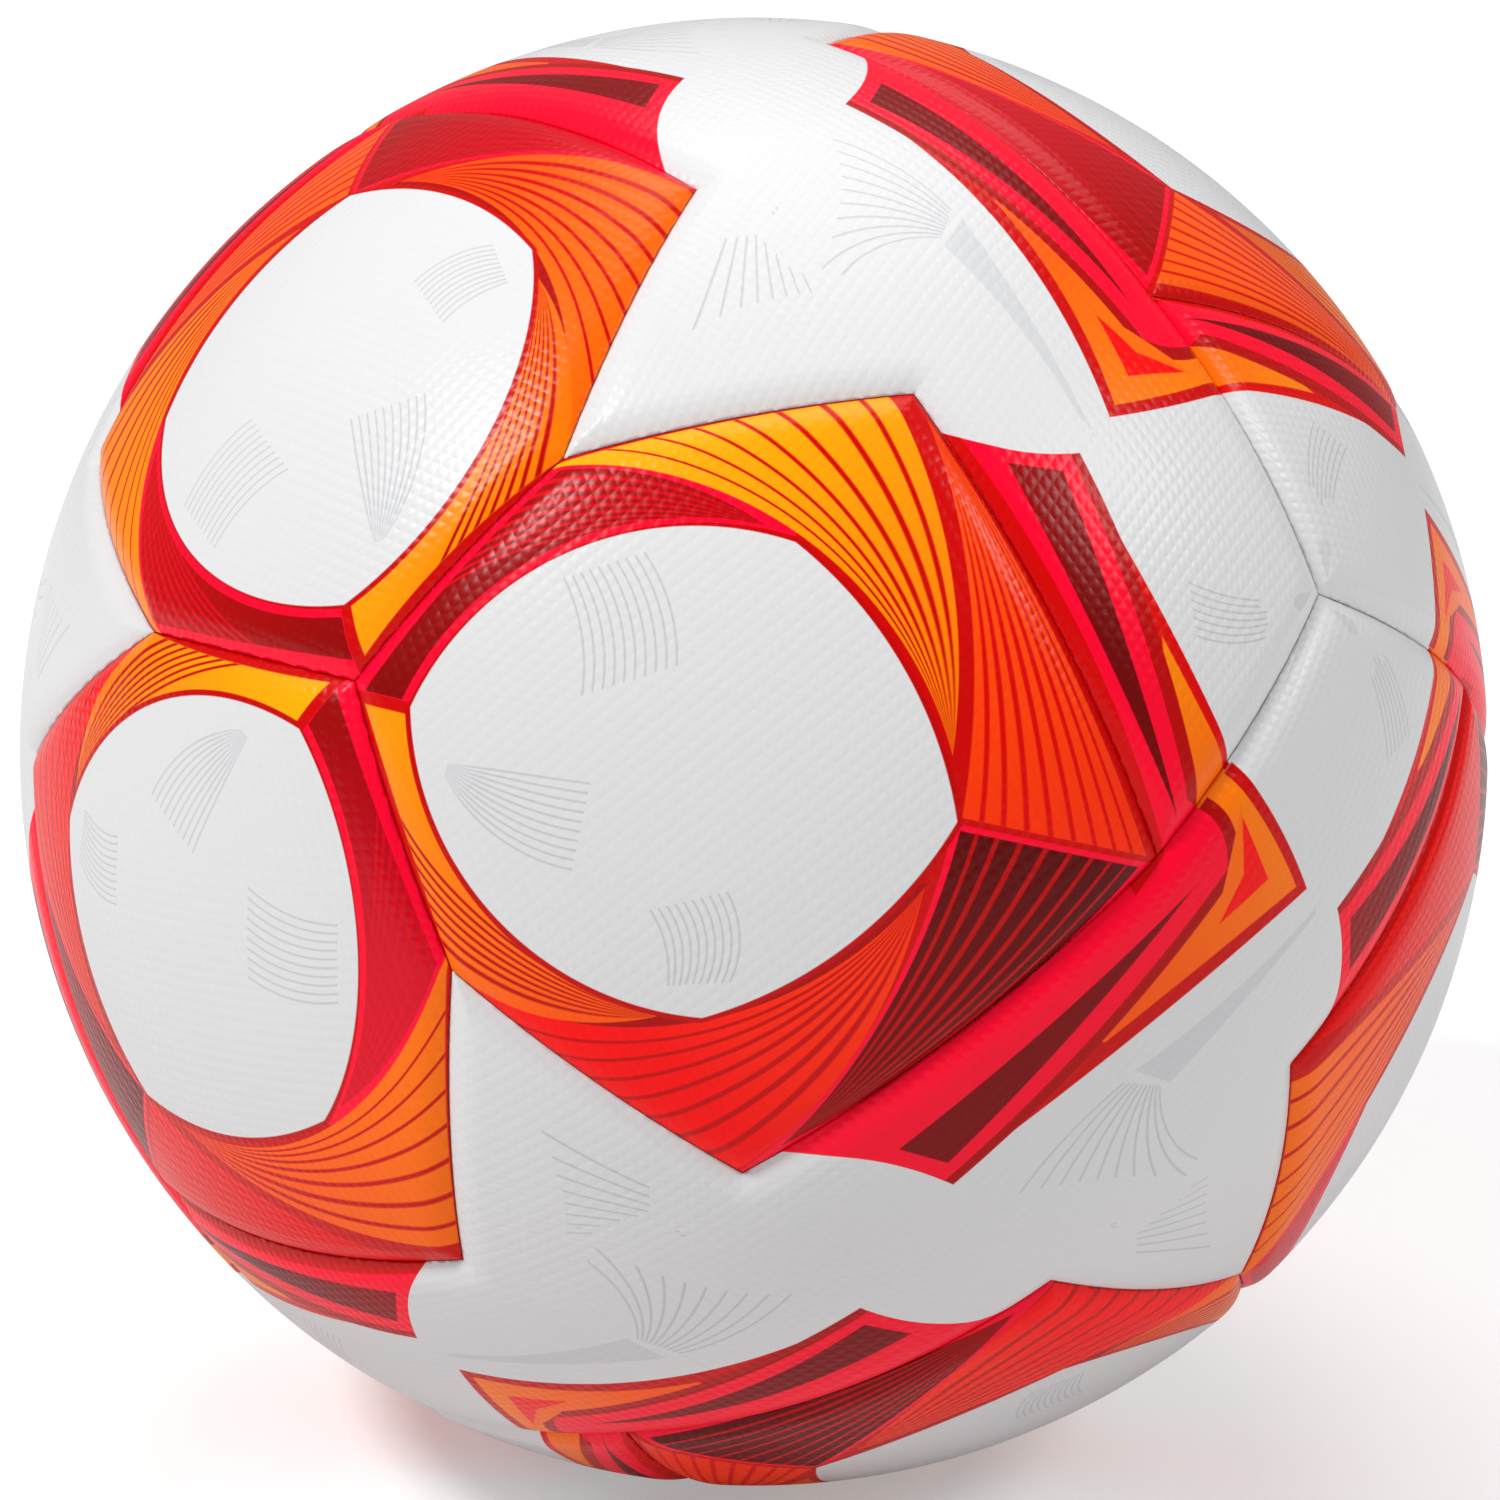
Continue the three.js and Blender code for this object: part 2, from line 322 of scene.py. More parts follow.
def makeStripeFan():
    # fine lines that share out the room between a near side and a far side
    tree, given, result = newGroup(
        "stripeFan",
        [("Near", "Float"), ("Far", "Float"), ("Stripes", "Float", 8.0), ("Crowding", "Float", 0.0),
         ("Lean", "Float", 0.0), ("Line Width", "Float", 0.4)],
        [("Line", "Float")])
    near = calc(tree, "MAXIMUM", given["Near"], fanLook["least depth"])
    far = calc(tree, "MAXIMUM", given["Far"], fanLook["least depth"])
    room = calc(tree, "ADD", near, far)
    even = calc(tree, "DIVIDE", near, room)
    middle = calc(tree, "MULTIPLY", even, calc(tree, "SUBTRACT", 1.0, even))
    fromMiddle = calc(tree, "MULTIPLY_ADD", even, 2.0, -1.0)
    skew = calc(tree, "MULTIPLY_ADD", given["Crowding"], fromMiddle, given["Lean"])
    share = calc(tree, "MULTIPLY_ADD", middle, skew, even)
    count = calc(tree, "MULTIPLY", share, given["Stripes"])
    pitch = calc(tree, "DIVIDE", room, given["Stripes"])
    away = calc(tree, "MULTIPLY", calc(tree, "PINGPONG", count, 0.5), pitch)
    half = calc(tree, "MINIMUM", calc(tree, "MULTIPLY", given["Line Width"], 0.5),
                calc(tree, "MULTIPLY", pitch, fanLook["widest half"]))
    line = calc(tree, "MULTIPLY_ADD", calc(tree, "SUBTRACT", half, away), fanLook["sharpness"], 0.5,
                clamp=True)
    first = calc(tree, "GREATER_THAN", count, 0.5)
    last = calc(tree, "LESS_THAN", count, calc(tree, "SUBTRACT", given["Stripes"], 0.5))
    between = calc(tree, "GREATER_THAN", calc(tree, "MINIMUM", given["Near"], given["Far"]),
                   fanLook["bare margin"])
    both = calc(tree, "MULTIPLY", calc(tree, "MULTIPLY", first, last), between)
    tree.links.new(calc(tree, "MULTIPLY", line, both), result["Line"])
    return tree


pebbleShape = {
    "flatness": 0.8,  # the diamonds are this much wider than high
    "spacing": 0.8,  # from the pitch of neighbours to the pitch of rows
    "roundness": 0.6,
    "unevenness": 0.25,
    "uneven noise": {"Scale": 1.3, "Detail": 3.0},
}


def makePebble():
    # the cover's moulded grain: rows of small rounded diamonds, with a little unevenness
    tree, given, result = newGroup(
        "pebbleGrain", [("Position", "Vector"), ("Pitch", "Float", 1.7)], [("Height", "Float")])
    parts = addNode(tree, "ShaderNodeSeparateXYZ", {0: given["Position"]}).outputs
    angle = calc(tree, "DIVIDE", 2 * math.pi, given["Pitch"])
    sums = []
    for sign in ("ADD", "SUBTRACT"):
        slant = calc(tree, sign, parts["X"], calc(tree, "MULTIPLY", parts["Y"], pebbleShape["flatness"]))
        turned = calc(tree, "MULTIPLY", calc(tree, "MULTIPLY", slant, angle), pebbleShape["spacing"])
        sums.append(calc(tree, "MULTIPLY_ADD", calc(tree, "COSINE", turned), 0.5, 0.5))
    dome = calc(tree, "POWER", calc(tree, "MULTIPLY", *sums), pebbleShape["roundness"])
    fine = addNoise(tree, given["Position"], pebbleShape["uneven noise"])
    tree.links.new(calc(tree, "MULTIPLY_ADD", fine, pebbleShape["unevenness"], dome), result["Height"])
    return tree


wearShape = {
    "cloud noise": {"Scale": 14.0, "Detail": 4.0},
    "rub noise": {"Scale": 160.0, "Detail": 6.0, "Roughness": 0.7},
    "gloss change": 0.1,
}


def makeWear():
    # a soft cloudy change in tone and fine rubs that change the gloss
    tree, given, result = newGroup(
        "coverWear", [("Color", "Color", (1, 1, 1, 1)), ("Amount", "Float", 0.05), ("Gloss", "Float", 0.35)],
        [("Color", "Color"), ("Roughness", "Float")])
    place = objectPlace(tree)
    cloud = addNoise(tree, place, wearShape["cloud noise"])
    rubs = addNoise(tree, place, wearShape["rub noise"])
    tone = calc(tree, "MULTIPLY", calc(tree, "SUBTRACT", cloud, 0.5), given["Amount"])
    value = calc(tree, "ADD", tone, 1.0)
    shaded = addNode(tree, "ShaderNodeHueSaturation", {"Value": value, "Color": given["Color"]}).outputs[0]
    tree.links.new(shaded, result["Color"])
    change = calc(tree, "MULTIPLY", calc(tree, "SUBTRACT", rubs, 0.5), wearShape["gloss change"])
    tree.links.new(calc(tree, "ADD", given["Gloss"], change), result["Roughness"])
    return tree


arcSide, stripeFan, pebbleGrain, coverWear = makeArcSide(), makeStripeFan(), makePebble(), makeWear()
print("shader groups made")

# The print. Millimetres from the middle of a flame panel: the first number runs from corner A to
# corner D and the second towards corner C. A side is a line of two points or an arc through
# three, and a shape lies on the left of all its sides. The lines of a fan share out the room
# between its near and far sides. On the white panels, a shape with a spread gives way by so
# many millimetres where two flame panels' shapes reach for one face.

def circleThrough(points):
    a, b, c = (Vector(p) for p in points)
    rows = Matrix(((b - a) * 2, (c - a) * 2))
    centre = rows.inverted() @ Vector((b.dot(b) - a.dot(a), c.dot(c) - a.dot(a)))
    bend = (b - a).cross(c - b)
    return centre, (a - centre).length, 1 if bend > 0 else -1


def flatDepth(points, places):
    # the same depth as the shader's, for an array of places
    if len(points) == 3:
        centre, radius, turn = circleThrough(points)
        return turn * (radius - np.linalg.norm(places - np.array(centre), axis=1))
    a, b = np.array(points, float)
    left = np.array((a[1] - b[1], b[0] - a[0]))
    return (places - a) @ left / np.linalg.norm(left)


def allSides(shape):
    return shape["sides"] + [shape[key] for key in ("near", "far") if key in shape]


def sideDepth(tree, position, points):
    if len(points) == 3:
        centre, radius, turn = circleThrough(points)
        return useGroup(tree, arcSide, Position=position, Centre=(*centre, 0), Radius=radius,
                        Turn=turn)["Depth"]
    a, b = (Vector(p) for p in points)
    left = Vector((a.y - b.y, b.x - a.x)).normalized()
    across = addNode(tree, "ShaderNodeVectorMath", {0: position, 1: (*left, 0)},
                     operation="DOT_PRODUCT").outputs["Value"]
    return calc(tree, "SUBTRACT", across, left.dot(a))


inkSharpness = 6.0  # of a shape's edge, per millimetre


def makePrint(name, ground, shapes):
    tree, given, result = newGroup(name, [("Position", "Vector")], [("Color", "Color")])
    position = given["Position"]
    depths = {}

    def depthOf(points):
        if points not in depths:
            depths[points] = sideDepth(tree, position, points)
        return depths[points]

    color = ground
    for shape in shapes:
        inside = None
        for points in shape["sides"]:
            depth = depthOf(points)
            inside = depth if inside is None else calc(tree, "MINIMUM", inside, depth)
        mask = calc(tree, "MULTIPLY_ADD", inside, inkSharpness, 0.5, clamp=True)
        if "color" in shape:
            fill = paint(*shape["color"])
            if "fadeTo" in shape:
                start, end = (Vector(p) for p in shape["fade"])
                way = (end - start) / (end - start).length_squared
                along = addNode(tree, "ShaderNodeVectorMath", {0: position, 1: (*way, 0)},
                                operation="DOT_PRODUCT").outputs["Value"]
                share = calc(tree, "ADD", along, -way.dot(start), clamp=True)
                fill = mixColor(tree, share, fill, paint(*shape["fadeTo"]))
            color = mixColor(tree, mask, color, fill)
        if "lines" in shape:
            fan = useGroup(tree, stripeFan, **{
                "Near": depthOf(shape["near"]), "Far": depthOf(shape["far"]),
                "Stripes": shape["stripes"], "Lean": shape.get("lean", 0),
                "Crowding": shape.get("crowding", 0), "Line Width": shape["lineWidth"]})
            lined = calc(tree, "MULTIPLY", fan["Line"], mask)
            color = mixColor(tree, lined, color, paint(*shape["lines"]))
    tree.links.new(color, result["Color"])
    return tree


borderRed = (208, 0, 6)  # a flame panel where no shape covers it
white = (220, 220, 221)
faint = (196, 197, 200)
fanSides = {
    "windowLowRight": ((-3.5, -31.3), (11.2, -19.2), (21.8, -0.8)),
    "windowTopRight": ((21.8, -0.8), (11.5, 15.9), (-4.8, 28.5)),
    "windowTopLeft": ((-4.8, 28.5), (-31.5, 22.0), (-48, -1.6)),
    "windowLowLeft": ((-48, -1.6), (-32.5, -24.2), (-3.5, -31.3)),
    "yellowLow": ((-36, 32.7), (-7.5, 30.8), (19.2, 7.6)),
    "yellowRight": ((19.4, 7.6), (13.4, 33), (3.2, 51)),
    "orangeLeft": ((8.6, 49), (18.4, 24.6), (22.3, -0.2)),
    "orangeRight": ((48.3, -0.2), (30.2, 24.3), (8.6, 49)),
    "maroonLeft": ((22.4, -1.9), (19.3, -23.5), (10.3, -46.8)),
    "maroonRight": ((10.3, -46.8), (29.5, -27.3), (47.6, -1.9)),
    "redTop": ((19.4, -10), (-2, -31), (-36.2, -34.4)),
    "redRight": ((4.6, -53), (16.4, -31), (19.6, -11)),
    "amberTop": ((-9, -32.6), (-33, -24.6), (-49.6, -12)),
    "amberLow": ((-36.6, -34.2), (-24, -36.2), (-9, -32.4)),
    "crimsonLow": ((-51, 10), (-32, 23.2), (-9, 29.2)),
    "crimsonTop": ((-9, 29.9), (-25, 33.3), (-36.4, 32.0)),
}


def edge(name):
    return fanSides[name]


flamePrint = [
    {"name": "pink round the crimson fan", "color": (255, 0, 62),
     "sides": [((-60, -1), (-40, -1)), edge("yellowLow")[::-1], ((-4, 26), (-6, 34))]},
    {"name": "pink round the maroon fan", "color": (255, 0, 60),
     "sides": [((60, -1), (20, -1)), ((21.4, -1.2), (18.6, -23.6), (9, -47))]},
    {"name": "dark band over the red fan", "color": (172, 0, 0),
     "sides": [edge("redTop")[::-1], ((22, -9), (-45, -9)), ((-37, -9), (-37, -40))]},
    {"name": "yellow fan", "color": (255, 171, 6), "fadeTo": (255, 124, 18), "fade": ((-20, 40), (17, 12)),
     "sides": [edge("yellowLow"), edge("yellowRight"), ((3.2, 51), (-16, 43.1), (-36, 33.5))],
     "lines": (205, 35, 0), "near": edge("yellowRight"), "far": edge("yellowLow"),
     "stripes": 8, "lean": -0.55, "crowding": -0.5, "lineWidth": 0.54},
    {"name": "orange fan", "color": (255, 92, 40), "fadeTo": (255, 62, 0), "fade": ((14, 38), (34, 0)),
     "sides": [edge("orangeLeft"), edge("orangeRight"), ((22, -0.2), (50, -0.2))],
     "lines": (222, 10, 0), "near": edge("orangeLeft"), "far": edge("orangeRight"),
     "stripes": 9, "lean": -0.24, "crowding": -0.24, "lineWidth": 0.62},
    {"name": "maroon fan", "color": (98, 0, 0), "fadeTo": (124, 0, 12), "fade": ((34, 0), (14, -42)),
     "sides": [edge("maroonLeft"), edge("maroonRight"), ((50, -1.8), (20, -1.8))],
     "lines": (192, 6, 34), "near": edge("maroonLeft"), "far": edge("maroonRight"),
     "stripes": 9, "lean": -0.21, "crowding": -0.38, "lineWidth": 0.54},
    {"name": "red fan", "color": (255, 66, 10), "fadeTo": (255, 26, 0), "fade": ((15, -20), (0, -42)),
     "sides": [edge("redTop"), edge("redRight"), ((-36.2, -35), (-15, -44.8), (4.6, -53.4))],
     "lines": (202, 0, 0), "near": edge("redRight"), "far": edge("redTop"),
     "stripes": 8, "lean": -0.48, "crowding": -0.16, "lineWidth": 0.62},
    {"name": "amber fan", "color": (255, 151, 2), "fadeTo": (255, 94, 28), "fade": ((-50, -5), (-20, -34)),
     "sides": [((-45, -2.6), (-60, -2.6)), ((-55, -2.6), (-46, -17), (-36.4, -33.8)),
               edge("amberLow"), ((0, -34), (0, 0))],
     "lines": (192, 34, 0), "near": edge("amberTop"), "far": edge("amberLow"),
     "stripes": 8, "lean": 0.61, "crowding": 0.31, "lineWidth": 0.54},
    {"name": "crimson fan", "color": (140, 0, 18), "fadeTo": (172, 0, 30), "fade": ((-52, 2), (-20, 30)),
     "sides": [edge("crimsonTop"), ((-36.6, 31.4), (-47.4, 14.2), (-55.2, -1)),
               ((-60, -0.9), (-40, -0.9)), ((-5, 20), (-9, 30))],
     "lines": (216, 12, 46), "near": edge("crimsonLow"), "far": edge("crimsonTop"),
     "stripes": 9, "lean": 0.47, "crowding": -0.25, "lineWidth": 0.64},
    {"name": "pink rim of the window", "color": (255, 0, 60),
     "sides": [((-4.8, 29.5), (-32.4, 22.9), (-49.4, -1.0)), ((-60, -1), (-40, -1)),
               ((-4.8, 20), (-4.8, 35))]},
    {"name": "red rim of the window", "color": (196, 0, 10),
     "sides": [((-3.5, -32), (11.8, -19.6), (22.6, -0.8)), ((22.6, -0.8), (12.1, 16.3), (-4.8, 29.2)),
               ((-4.8, 29.2), (-31.7, 22.2), (-48.5, -1.6)), ((-48.8, -1.6), (-33, -24.8), (-3.5, -32))]},
    {"name": "window", "color": white,
     "sides": [edge("windowLowRight"), edge("windowTopRight"), edge("windowTopLeft"),
               edge("windowLowLeft")]},
    {"name": "faint fan, upper", "lines": faint, "near": ((-15, 13), (-17.3, 18.5), (-21.5, 23.8)),
     "far": ((-33, 18), (-29.5, 12), (-27.5, 4)), "stripes": 11, "lineWidth": 0.26,
     "sides": [((-20, 25), (-36, 16)), ((-29, 3), (-13, 12))]},
    {"name": "faint fan, left", "lines": faint, "near": ((-21, -4.4), (-34, -6), (-42, -7.5)),
     "far": ((-42, -8.5), (-36, -14.3), (-19, -17.3)), "stripes": 11, "lineWidth": 0.26,
     "sides": [((-41.5, 0), (-41.5, -20)), ((-23, -20), (-23, 0))]},
    {"name": "faint fan, lower", "lines": faint, "near": ((-13.2, -20), (-10.3, -24.5), (-8.8, -29.5)),
     "far": ((-0.3, -26), (-0.2, -20), (-3, -14.5)), "stripes": 11, "lineWidth": 0.26,
     "sides": [((-2, -14), (-14, -20)), ((-12, -29.3), (2, -25))]},
]

# the three flame panels that meet at a corner A each have their own colours
fanColors = [
    {},
    {"yellow fan": ((255, 140, 4), (255, 130, 30)), "orange fan": ((255, 104, 44), (255, 98, 30)),
     "red fan": ((255, 84, 14), (255, 106, 22)), "maroon fan": ((165, 0, 24), (224, 4, 56)),
     "amber fan": ((255, 158, 4), (255, 112, 14)), "crimson fan": ((150, 0, 8), (196, 0, 24))},
    {"yellow fan": ((255, 120, 8), (255, 86, 6)), "orange fan": ((248, 34, 6), (244, 20, 2)),
     "red fan": ((250, 62, 8), (248, 28, 0)), "amber fan": ((255, 174, 4), (255, 122, 8)),
     "crimson fan": ((160, 0, 14), (226, 4, 56))},
]


def repainted(shapes, colors):
    return [{**shape, **dict(zip(("color", "fadeTo"), colors.get(shape["name"], ())))} for shape in shapes]


seamCD = ((8, 49), (47, -4))
seamDE = ((47, 4), (8, -49))
westOfDG = ((49, -4), (60.5, 17))
eastOfDG = ((60.5, 17), (49, -4))
lowEnd = ((16, -46.7), (24.6, -46.3), (32.8, -47.8))
highEnd = ((27.8, 48.8), (20, 47.1), (11.5, 47.6))
highCap, lowCap = ((40, 60), (0, 60)), ((0, -60), (40, -60))
whitePrint = [
    {"name": "soft band", "color": (208, 209, 211), "spread": 8,
     "sides": [((98, 26), (77.6, -4), (55, -28.5)), ((61, -30), (75.5, -8.5), (98, 22)),
               ((82, 0), (82, 40)), ((54, -28.5), (62, -30))]},
    {"name": "faint fan under the far seam", "lines": faint, "spread": 8, "stripes": 8, "lineWidth": 0.26,
     "near": ((69, 41.2), (57, 37.3), (44, 37.8)), "far": ((48, 28.4), (58, 29.6), (67.5, 37.5)),
     "sides": [((46, 40), (50, 28))]},
    {"name": "faint fan below", "lines": faint, "spread": 8, "stripes": 11, "lineWidth": 0.26,
     "near": ((54, -29.5), (46.5, -38.5), (41, -49.7)), "far": ((83, -37.2), (66.5, -37.8), (60, -30)),
     "sides": [((41, -49.7), (58, -45), (79, -46.5)), ((64, -30.5), (50, -30.5)),
               ((72, -60), (72, -20))]},
    {"name": "faint horn", "lines": faint, "spread": 8, "stripes": 9, "lean": -0.3, "lineWidth": 0.26,
     "near": ((-22.4, 92), (-24, 70), (-28, 49)), "far": ((-5, 60), (-16.2, 77), (-22, 92)),
     "sides": [((-28, 49), (-19, 58.2), (-10, 63)), ((-28.5, 48), (-8, 61)), ((0, 77), (-30, 77))]},
    {"name": "red border above", "color": (222, 6, 8),
     "sides": [seamCD, westOfDG, ((58.8, 14.2), (43.6, 31.4), (27.8, 48.8)), highEnd, highCap]},
    {"name": "red border below", "color": (205, 0, 4),
     "sides": [seamDE, eastOfDG, lowEnd, lowCap, ((32.8, -47.8), (54.3, -22.6), (76, -0.3)),
               ((76, -0.3), (68.6, 7.1), (58.8, 14.6))]},
    {"name": "orange arm above", "color": (255, 138, 26), "fadeTo": (255, 112, 0),
     "fade": ((46, 25), (55, 10)),
     "sides": [westOfDG, ((58.2, 13.2), (51.2, 20.6), (44.4, 28)), ((44.4, 28), (48.4, 17), (54.6, 7.5))]},
    {"name": "orange chevron", "color": (255, 128, 8), "fadeTo": (255, 96, 0), "fade": ((66, 8), (55, -18)),
     "sides": [eastOfDG, ((49, -25.2), (60.9, -12.6), (73.8, -0.3)), ((73.8, -0.3), (67, 6.2), (57.8, 12.9)),
               ((44, -25.2), (60, -25.2))]},
    {"name": "dark edge below", "color": (178, 0, 2),
     "sides": [seamDE, lowEnd, lowCap, ((33.8, -48.5), (48.7, -24.8), (62.7, 0.2)), ((70, 0.4), (40, 0.4))]},
    {"name": "dark edge round the tip", "color": (178, 0, 2),
     "sides": [eastOfDG, ((62.7, 0.2), (60.4, 6), (54, 9.6)), ((40, 0.2), (70, 0.2))]},
    {"name": "dark edge above", "color": (188, 0, 4),
     "sides": [seamCD, westOfDG, highEnd, highCap, ((54.6, 8), (44, 27.6), (29.6, 49))]},
    {"name": "pink below", "color": (255, 0, 60),
     "sides": [seamDE, lowEnd, lowCap, ((32.8, -47.5), (46.8, -24.8), (60.9, 0.2)), ((70, 0.4), (40, 0.4))]},
    {"name": "pink round the tip", "color": (255, 0, 60),
     "sides": [((60.9, 0.2), (58.6, 5), (53.4, 7.9)), ((40, 0.2), (70, 0.2)), ((50, 0), (53, 9))[::-1]]},
    {"name": "pink above", "color": (255, 0, 60),
     "sides": [seamCD, westOfDG, highEnd, highCap, ((53.2, 6.8), (41.8, 27.3), (28, 49))]},
    {"name": "red along the seam", "color": (214, 0, 4),
     "sides": [((50.6, 1.6), (31, 28.4), (12.6, 48)), highEnd, highCap, westOfDG, seamCD]},
    {"name": "maroon bar above", "color": (150, 0, 30), "fadeTo": (118, 0, 10), "fade": ((24, 44), (38, 24)),
     "sides": [((27.3, 46.2), (19.7, 45.2)), ((19.7, 45.2), (51.5, 5.5)), ((51.5, 5.5), (27.3, 46.2))]},
    {"name": "maroon bar below", "color": (130, 0, 10),
     "sides": [((25.2, -44), (32.3, -45)), ((32.3, -45), (56.2, -3)), ((56.2, -3), (25.2, -44))]},
    {"name": "red wedge", "color": (252, 28, 6),
     "sides": [((68.3, 0), (61.5, 7.6)), ((61.5, -7.4), (68.3, 0)), ((61.5, 7.2), (61.5, -7))]},
    {"name": "notch in the wedge", "color": (255, 112, 2),
     "sides": [((63.8, 0), (61.4, 8)), ((61.4, -8), (63.8, 0)), ((61.0, 8), (61.0, -8))]},
]

printReach = 98  # a flame panel's shapes end within this many millimetres of its middle
outOfReach = -998  # a depth below that of any shape

# covers

coverShape = {
    "steps": 8,  # how often the starting ball is split
    "halfGap": 0.05 * mm,  # from the middle of a seam to the cover's edge
    "rimRows": (0.45 * mm, 0.95 * mm, 1.7 * mm, 2.7 * mm),  # extra rows beside each seam
    "rowReach": 3 * mm,  # how far past a row its faces may be split
    "rimWidth": 5 * mm,
    "rimDrop": 1.4 * mm,
    "rimCurve": 2.2,
    "whiteStart": 0.3,  # a white panel lies further out than this share of the radius
    "thickness": 1.3 * mm,
    "mapWidth": 200 * mm,  # the print map covers this much of the panel's plane
}


def addBall(name, radius, steps):
    deselectAll()
    bpy.ops.mesh.primitive_ico_sphere_add(subdivisions=steps, radius=radius)
    ball = bpy.context.object
    ball.name = name
    return ball


def cutAlong(ball, arcs, gap, clear):
    bpy.ops.object.mode_set(mode="EDIT")
    for p, q in arcs:
        inward = p.cross(q).normalized()
        bpy.ops.mesh.select_all(action="SELECT")
        bpy.ops.mesh.bisect(plane_co=inward * gap, plane_no=inward, clear_inner=clear, threshold=1e-7)
    bpy.ops.object.mode_set(mode="OBJECT")


def addRows(panel, arcs, offsets):
    # lines of edges beside each seam, so that the rim rolls down evenly
    mesh = panel.data
    for p, q in arcs:
        inward = p.cross(q).normalized()
        for offset in offsets:
            away = seamDistance(waysTo(faceCentres(mesh)), [(p, q)]) * crownRadius
            selectFaces(panel, away < offset + coverShape["rowReach"])
            bpy.ops.mesh.bisect(plane_co=inward * offset, plane_no=inward, threshold=1e-7)
            bpy.ops.object.mode_set(mode="OBJECT")


def rollRims(panel, arcs, radius):
    size = coverShape
    mesh = panel.data
    ways = waysTo(vertexPlaces(mesh))
    inward = 1 - np.clip(seamDistance(ways, arcs) * radius / size["rimWidth"], 0, 1)
    places = ways * (radius - size["rimDrop"] * inward ** size["rimCurve"])[:, None]
    mesh.vertices.foreach_set("co", places.ravel())
    mesh.update()


def flameMap(corner):
    # middle, way to corner D and way to corner C of the flame panel turned by this corner
    hub = corner @ fromA(panelLayout["hubReach"])
    tip = corner @ fromA(panelLayout["tipReach"])
    along = (tip - hub * tip.dot(hub)).normalized()
    return np.array(hub), np.array(along), np.array(hub.cross(along))


def spreadFlat(ways, hub, along, across, radius):
    reach = np.arccos(np.clip(ways @ hub, -1, 1)) * radius
    side = np.stack([ways @ along, ways @ across], 1)
    side /= np.maximum(np.linalg.norm(side, axis=1), 1e-9)[:, None]
    return side * reach[:, None]


def clearMaps(mesh):
    while mesh.uv_layers:
        mesh.uv_layers.remove(mesh.uv_layers[0])


def addMap(panel, name, flat):
    # flat holds one place for each face corner, in metres
    layer = panel.data.uv_layers.new(name=name)
    layer.data.foreach_set("uv", (flat / coverShape["mapWidth"] + 0.5).ravel())


def makeFlameBase():
    size = coverShape
    panel = addBall("flameBase", crownRadius, size["steps"])
    arcs = seamArcs(flameCorners)
    cutAlong(panel, arcs, size["halfGap"], True)
    addRows(panel, arcs, size["rimRows"])
    rollRims(panel, arcs, crownRadius)
    mesh = panel.data
    clearMaps(mesh)
    flat = spreadFlat(waysTo(vertexPlaces(mesh)), *flameMap(Matrix.Identity(3)), crownRadius)
    for name in ("printMap", "grainMap"):
        addMap(panel, name, flat[faceCorners(mesh)])
    return panel


def shareOutPrint(mesh):
    # each face takes the print of the flame panel whose shapes reach it best
    ways, corners = waysTo(vertexPlaces(mesh)), faceCorners(mesh)
    middles = waysTo(faceCentres(mesh))
    totals = np.empty(len(mesh.polygons), np.int32)
    mesh.polygons.foreach_get("loop_total", totals)
    best = np.full(len(middles), -np.inf)
    flat = np.zeros((len(corners), 2))
    for turn in flameTurns:
        place = spreadFlat(middles, *flameMap(turn), crownRadius) / mm
        reach = np.max([np.min([flatDepth(side, place) for side in allSides(shape)], 0)
                        - shape.get("spread", 0) for shape in whitePrint], 0)
        reach = np.where(np.linalg.norm(place, axis=1) < printReach, reach, outOfReach)
        nearer = reach > best
        best = np.where(nearer, reach, best)
        mine = np.repeat(nearer, totals)
        flat[mine] = spreadFlat(ways[corners[mine]], *flameMap(turn), crownRadius)
    return flat


def makeWhiteBase():
    size = coverShape
    panel = addBall("whiteBase", crownRadius, size["steps"])
    arcs = seamArcs(whiteCorners[:12])
    work(panel)
    bpy.ops.object.mode_set(mode="EDIT")
    bpy.ops.mesh.select_all(action="SELECT")
    bpy.ops.mesh.bisect(plane_co=(size["whiteStart"] * crownRadius, 0, 0), plane_no=(1, 0, 0),
                        clear_inner=True)
    bpy.ops.object.mode_set(mode="OBJECT")
    cutAlong(panel, arcs, size["halfGap"], False)
    ways = waysTo(faceCentres(panel.data))
    near = seamDistance(ways, arcs) * crownRadius < size["halfGap"]
    selectFaces(panel, ~insideWhite(ways) | near)
    bpy.ops.mesh.delete(type="FACE")
    bpy.ops.object.mode_set(mode="OBJECT")
    addRows(panel, arcs, size["rimRows"])
    rollRims(panel, arcs, crownRadius)
    mesh = panel.data
    clearMaps(mesh)
    addMap(panel, "printMap", shareOutPrint(mesh))
    flat = spreadFlat(waysTo(vertexPlaces(mesh)), *np.identity(3), crownRadius)
    addMap(panel, "grainMap", flat[faceCorners(mesh)])
    return panel


def mapPlace(tree, name):
    # a map's place on the panel, in millimetres
    place = addNode(tree, "ShaderNodeUVMap", uv_map=name).outputs[0]
    wide = coverShape["mapWidth"] / mm
    return addNode(tree, "ShaderNodeVectorMath",
                   {0: place, 1: (wide, wide, 0), 2: (-wide / 2, -wide / 2, 0)},
                   operation="MULTIPLY_ADD").outputs[0]


coverFinish = {
    "roughness": 0.3,
    "reflection": 0.16,
    "grain pitch": 1.65,  # millimetres
    "grain depth": 0.05 * mm,
    "tone change": 0.05,
}


